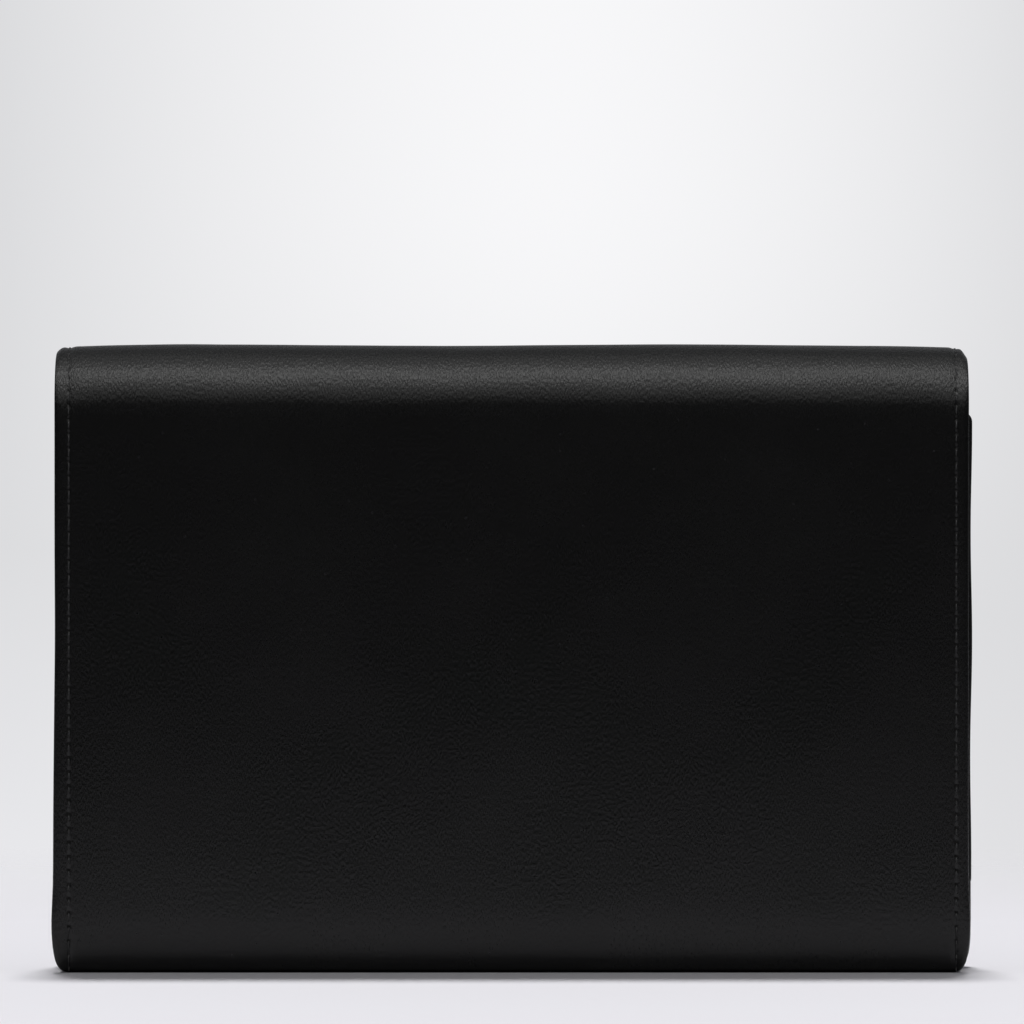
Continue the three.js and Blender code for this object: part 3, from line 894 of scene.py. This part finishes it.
def gusset(name, side, offset, thickness, material, edge_in):
    """A panel that runs from the back wall in to a soft fold and out to the front wall."""
    across, up = 64, 130
    v = np.linspace(0, 1, across + 1)
    u = np.linspace(0, 1, up + 1)
    y = REAR_IN + (FRONT_IN - REAR_IN) * v
    toward = 1 - np.abs(2 * v - 1)
    soft = toward - 0.055 * np.exp(-(((v - 0.5) / 0.045) ** 2))
    flare = 0.04 * np.sin(math.pi * toward)
    reach = soft + flare
    inner_y, inner_z = CORNER_Y - WALL, CORNER_Z - WALL
    foot = np.full_like(y, WALL)
    rear, near = y > REAR_Y, y < TIP_Y
    for part, past in ((rear, y[rear] - REAR_Y), (near, TIP_Y - y[near])):
        foot[part] = CORNER_Z - inner_z * np.sqrt(np.clip(1 - (past / inner_y) ** 2, 0, 1))
    top = GUSSET_TOP - edge_in - 1.2 * MM * toward**2
    z = foot[None, :] + (top - foot)[None, :] * u[:, None]
    height = (z - WALL) / (GUSSET_TOP - WALL)
    deep = FOLD_IN_FOOT + (FOLD_IN_TOP - FOLD_IN_FOOT) * np.clip(height, 0, 1) ** 0.8
    sag = 0.35 * MM * np.sin(9 * height + 2 * side) * np.sin(math.pi * toward)[None, :]
    x = GUSSET_HALF_X - deep * reach[None, :] + sag
    outer = np.stack([x, np.repeat(y[None, :], up + 1, 0), z], 2)
    du = np.gradient(outer, axis=0)
    dv = np.gradient(outer, axis=1)
    normal = np.cross(du, dv)
    normal /= np.linalg.norm(normal, axis=2, keepdims=True)
    normal *= np.sign(normal[:, :, :1].mean())
    edge = np.minimum(u, 1 - u)[:, None] * (GUSSET_TOP - WALL)
    inset = rounded_inset(np.repeat(edge, across + 1, 1), 0.6 * MM, thickness)
    a = outer - normal * (offset + inset)[:, :, None]
    b = outer - normal * (offset + thickness - inset)[:, :, None]
    points = np.concatenate([a.reshape(-1, 3), b.reshape(-1, 3)])
    points[:, 0] *= side
    index = np.arange(z.size).reshape(z.shape)
    under = index + z.size
    under[0], under[-1] = index[0], index[-1]
    outward = side > 0
    faces = grid_faces(index, not outward) + grid_faces(under, outward)
    for column, flip in ((0, False), (-1, True)):
        faces += end_faces(index[:, column], under[:, column], flip != outward)
    length = np.concatenate([[0], np.cumsum(np.hypot(np.diff(y), np.diff(x[up // 2])))])
    cloth_one = np.stack([np.repeat(length[None, :], up + 1, 0), z, np.zeros_like(z)], 2)
    cloth_two = cloth_one + np.array([0, 0, 0.5])
    cloth = np.concatenate([cloth_one.reshape(-1, 3), cloth_two.reshape(-1, 3)])
    sharp = np.zeros(len(points), bool)
    for column in (0, -1):
        sharp[index[:, column]] = sharp[under[:, column]] = True
    points, cloth, sharp, faces = tidy(points, cloth, sharp, faces)
    return new_piece(name, points, faces, material, {"cloth": cloth}, sharp)


gusset_pieces = {}
for label, side in (("left", -1), ("right", 1)):
    gusset_pieces["satin_" + label] = gusset(
        f"gusset_satin_fold_{label}", side, 0.0, 0.6 * MM, satin, 0.0
    )
    gusset_pieces["lining_" + label] = gusset(
        f"gusset_lining_fold_{label}", side, 0.55 * MM, 0.55 * MM, lining_cloth, 1.8 * MM
    )

# ---------------------------------------------------------------- slip pocket
pocket_low, pocket_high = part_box("pocket_panel")
POCKET_S = S_WALL + (pocket_high.z - CORNER_Z)
POCKET_FOOT_S = S_WALL + (pocket_low.z - CORNER_Z)
POCKET_HALF = pocket_high.x


def pocket_belly(x, s, half):
    """The pocket bellies slightly towards its open top."""
    up = np.clip((s - POCKET_FOOT_S) / (POCKET_S - POCKET_FOOT_S), 0, 1)
    across = np.clip(1 - (x / half) ** 2, 0, 1)
    return 0.9 * MM * up**1.5 * across


def pocket_relief(x, s, half):
    return pocket_belly(x, s, half) + 0.1 * MM * rumple(x * 2, s * 2)


pocket_rows = POCKET_S - end_rows(
    1.5 * MM, 0.4 * MM, 0, POCKET_S - POCKET_FOOT_S, 1.5 * MM, THIN_EDGE
)[::-1]
pocket_rows[0] = POCKET_FOOT_S
slip_pocket = slab(
    "slip_pocket", strip, pocket_rows, POCKET_HALF, 0.7 * MM, lining_cloth,
    offset=WALL + 0.15 * MM, inner_relief=pocket_relief, free=(True, True), corner=1.5 * MM,
    reach=0.4 * MM, steps=lining_steps, middle=50,
)
binding_rows = POCKET_S + 0.4 * MM - end_rows(0, 0.4 * MM, 0, 9.0 * MM, 1.0 * MM, THIN_EDGE)[::-1]
pocket_binding = slab(
    "slip_pocket_binding", strip, binding_rows, POCKET_HALF + 0.2 * MM, 1.1 * MM, satin,
    offset=WALL + 0.05 * MM, inner_relief=pocket_belly, free=(True, True), corner=0.0,
    reach=0.5 * MM, steps=lining_steps, middle=50,
)
pocket_run = even_run(
    [
        (-POCKET_HALF + 2 * MM, POCKET_S - 11 * MM),
        (-POCKET_HALF + 2 * MM, POCKET_FOOT_S + 2 * MM),
        (POCKET_HALF - 2 * MM, POCKET_FOOT_S + 2 * MM),
        (POCKET_HALF - 2 * MM, POCKET_S - 11 * MM),
    ]
)
pocket_stitches = stitch_row(
    "slip_pocket_stitches", strip, [pocket_run], (-1,), thread, thickness=WALL + 0.85 * MM
)

# ---------------------------------------------------------------- magnetic snap
def turned(name, profile, centre, material, sides=96):
    """A solid of revolution about the Y axis through centre: profile is a list of (radius, y)."""
    vertices, faces, rings = [], [], []
    for radius, y in profile:
        if radius < 1e-7:
            rings.append([len(vertices)])
            vertices.append((centre[0], y, centre[1]))
            continue
        ring = []
        for k in range(sides):
            a = 2 * math.pi * k / sides
            ring.append(len(vertices))
            vertices.append((centre[0] + radius * math.cos(a), y, centre[1] + radius * math.sin(a)))
        rings.append(ring)
    for one, two in zip(rings[:-1], rings[1:]):
        for k in range(sides):
            n = (k + 1) % sides
            if len(one) == 1:
                faces.append([one[0], two[n], two[k]])
            elif len(two) == 1:
                faces.append([one[k], one[n], two[0]])
            else:
                faces.append([one[k], one[n], two[n], two[k]])
    return new_piece(name, np.array(vertices), faces, material)


def rounded(points, radius, steps=5):
    """Rounds the inner corners of an open (radius, y) profile."""
    out = [points[0]]
    for before, here, after in zip(points[:-2], points[1:-1], points[2:]):
        b, h, a = (np.array(q, float) for q in (before, here, after))
        cut = min(radius, 0.45 * np.linalg.norm(b - h), 0.45 * np.linalg.norm(a - h))
        p = h + (b - h) / np.linalg.norm(b - h) * cut
        q = h + (a - h) / np.linalg.norm(a - h) * cut
        for k in range(steps + 1):
            t = k / steps
            out.append(tuple((1 - t) ** 2 * p + 2 * t * (1 - t) * h + t * t * q))
    out.append(points[-1])
    return out


stud_low, stud_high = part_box("snap_stud")
cover_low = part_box("snap_socket_cover")[0]
snap_x = (stud_low.x + stud_high.x) / 2
snap_z = (stud_low.z + stud_high.z) / 2
snap_r = (stud_high.x - stud_low.x) / 2
flap_inner = -FOLD_R + WALL
plate_top = flap_inner + 0.9 * MM
stud_profile = rounded(
    [
        (0, flap_inner - 0.25 * MM),
        (snap_r, flap_inner - 0.25 * MM),
        (snap_r, plate_top - 0.1 * MM),
        (snap_r - 1.0 * MM, plate_top),
        (4.0 * MM, plate_top),
        (3.6 * MM, plate_top - 0.15 * MM),
        (2.9 * MM, plate_top - 0.1 * MM),
        (2.6 * MM, plate_top + 0.2 * MM),
        (2.6 * MM, stud_high.y),
        (0, stud_high.y),
    ],
    0.25 * MM,
)
stud = turned("snap_stud_plate", stud_profile, (snap_x, snap_z), plate_metal)
socket_profile = [
    (3.3 * MM, FRONT_Y + 0.1 * MM),
    (3.3 * MM, cover_low.y + 0.1 * MM),
    (3.5 * MM, cover_low.y),
    (4.1 * MM, cover_low.y),
    (4.3 * MM, cover_low.y + 0.12 * MM),
    (4.6 * MM, cover_low.y + 0.12 * MM),
    (4.8 * MM, cover_low.y),
    (snap_r - 0.4 * MM, cover_low.y),
    (snap_r, cover_low.y + 0.4 * MM),
    (snap_r, FRONT_Y + 0.15 * MM),
]
socket_cover = turned(
    "snap_socket_shell", rounded(socket_profile, 0.2 * MM)[::-1], (snap_x, snap_z), plate_metal
)

# ---------------------------------------------------------------- how each piece moves
for piece in (back_satin, back_lining, back_stitches):
    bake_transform(piece)
for piece in (flap_satin, flap_lining, flap_stitches):
    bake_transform(piece)
for piece in (front_satin, front_lining, front_stitches):
    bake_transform(piece)
for piece in gusset_pieces.values():
    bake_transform(piece)
for piece in (slip_pocket, pocket_binding, pocket_stitches, base_board):
    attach(piece, "body")
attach(stud, "flap")
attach(socket_cover, "front")

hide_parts("outer_back", "outer_base")
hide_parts("board_base")
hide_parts("outer_flap", "outer_top_fold")
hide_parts("outer_front")
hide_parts("lining_back", "lining_base")
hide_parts("lining_flap", "lining_top_fold", "interlining_top_fold")
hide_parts("lining_front")
for label in ("left", "right"):
    for kind in ("satin", "lining"):
        panel = f"gusset_{kind}_{label}"
        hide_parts(panel + "_rear", panel + "_front")
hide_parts("pocket_panel", "pocket_hem_left", "pocket_hem_right", "pocket_hem_foot")
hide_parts("pocket_binding")
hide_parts("snap_stud")
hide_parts("snap_socket_cover")

# ---------------------------------------------------------------- floor
def stage_floor():
    """A round floor that fades into the backdrop, and half fades for the purse's reflections."""
    mesh = bpy.data.meshes.new("floor")
    sides, radius = 96, 1.6
    angles = np.linspace(0, 2 * math.pi, sides, endpoint=False)
    ring = [(radius * math.cos(a), radius * math.sin(a), 0) for a in angles]
    mesh.from_pydata(ring, [], [list(range(sides))])
    floor = new_object("floor", mesh)
    material, tree = new_material("floor")
    length = tree.new("ShaderNodeVectorMath", {0: tree.object((1, 1, 1))}, operation="LENGTH")
    fade = tree.span(length.outputs["Value"], 0.28, 0.75, 0.0, 1.0)
    by_ray = tree.span(tree.camera_ray(), 0.0, 1.0, 0.66, 1.0)
    pale = tree.new("ShaderNodeBsdfDiffuse", {"Color": (0.815, 0.805, 0.845)})
    clear = tree.new("ShaderNodeBsdfTransparent")
    tree.end_mixed(tree.calc("MULTIPLY", fade, by_ray), pale, clear)
    mesh.materials.append(material)
    return floor


floor = stage_floor()

# ---------------------------------------------------------------- camera
VIEW_Z = 131.07 * MM
VIEW_FAR = 2.0
camera_data = bpy.data.cameras.new("camera")
camera = new_object("camera", camera_data)
camera_data.lens = 247.28
camera_data.sensor_width = 36
camera_data.clip_start = 0.05
camera_data.clip_end = 50
camera.location = (-0.085 * MM, BACK_Y + VIEW_FAR, VIEW_Z)
camera.rotation_euler = (math.radians(90), 0, math.radians(180))
bpy.context.scene.camera = camera

# ---------------------------------------------------------------- light
purse_only = bpy.data.collections.new("purse_only")


def new_light(name, data, direction, receivers):
    light = new_object(name, data)
    light.rotation_euler = direction.to_track_quat("-Z", "Y").to_euler()
    light.light_linking.receiver_collection = receivers
    return light


def softbox(name, place, target, size, power, receivers):
    data = bpy.data.lights.new(name, "AREA")
    data.shape = "RECTANGLE"
    data.size, data.size_y = size
    data.energy = power
    light = new_light(name, data, Vector(target) - Vector(place), receivers)
    light.location = place


floor_only = bpy.data.collections.new("floor_only")
floor_only.objects.link(floor)
key_data = bpy.data.lights.new("overhead_key", "SUN")
key_data.energy = 2.42
key_data.angle = math.radians(8.7)
new_light("overhead_key", key_data, Vector((0, 0.262, -1.25)), floor_only)
softbox("overhead_fill", (0, 0.4, 1.5), (0, 0.3, 0), (2.0, 1.6), 4.9, floor_only)


def crest_light(name, elevation, spread, radiance):
    """A long softbox for the purse: elevation is its angle above the back's own horizon."""
    away, length = 1.3, 2.4
    tall = 2 * away * math.tan(math.radians(spread / 2))
    angle = math.radians(elevation)
    place = (0, away * math.cos(angle), FOLD_Z + away * math.sin(angle))
    power = radiance * math.pi * length * tall
    softbox(name, place, (0, 0, FOLD_Z), (length, tall), power, purse_only)


for name, elevation, spread, radiance in (
    ("crown_softbox", 97, 32, 0.75),
    ("crest_softbox", 68, 26, 3.8),
    ("crest_edge", 50, 10, 1.9),
    ("crest_lower_1", 40, 10, 1.2),
    ("crest_lower_2", 29, 12, 1.05),
    ("crest_lower_3", 18, 16, 0.38),
):
    crest_light(name, elevation, spread, radiance)

world = bpy.data.worlds.new("studio")
bpy.context.scene.world = world
world.use_nodes = True
tree = Nodes(world.node_tree)
direction = tree.new("ShaderNodeTexCoord").outputs["Generated"]
east, back, up = tree.new("ShaderNodeSeparateXYZ", {0: direction}).outputs
# The backdrop is brightest above the purse, and its sweep lightens again down to the floor.
from_glow = tree.calc("ABSOLUTE", tree.calc("ADD", east, 0.006))
side_fall = tree.calc("POWER", tree.calc("MULTIPLY", from_glow, 1 / 0.078), 1.7)
raised = tree.calc("MULTIPLY", tree.span(up, -0.015, 0.05, 0.15, 1.0), math.pi / 2)
glow = tree.calc("SUBTRACT", 1.0, side_fall, True)
glow = tree.calc("MULTIPLY", glow, tree.calc("SINE", raised))
floor_glow = tree.span(up, -0.005, -0.047, 0.0, 1.0)
sideways = tree.span(east, -0.07, 0.07, 0.0, 1.0)
base_tone = tree.mix(sideways, (0.69, 0.692, 0.708), (0.715, 0.718, 0.734))
low_tone = tree.mix(sideways, (0.735, 0.735, 0.755), (0.80, 0.80, 0.825))
backdrop = tree.mix(floor_glow, base_tone, low_tone)
backdrop = tree.mix(glow, backdrop, (0.93, 0.93, 0.945))
# What lights and mirrors in the purse is dim, and fades out behind the camera.
dimmed = tree.mix(tree.span(back, -1.0, 0.6, 1.0, 0.06), (0.0, 0.0, 0.0), (0.95, 0.97, 1.0))
seen = tree.new("ShaderNodeBackground", {"Color": backdrop})
lit = tree.new("ShaderNodeBackground", {"Color": dimmed, "Strength": 0.25})
tree.end_mixed(tree.camera_ray(), lit, seen, "World")

for piece in bpy.context.scene.objects:
    if piece.type == "MESH" and piece is not floor:
        purse_only.objects.link(piece)

scene = bpy.context.scene
scene.view_settings.view_transform = "Standard"
scene.view_settings.look = "None"
scene.view_settings.exposure = 0
scene.view_settings.gamma = 1
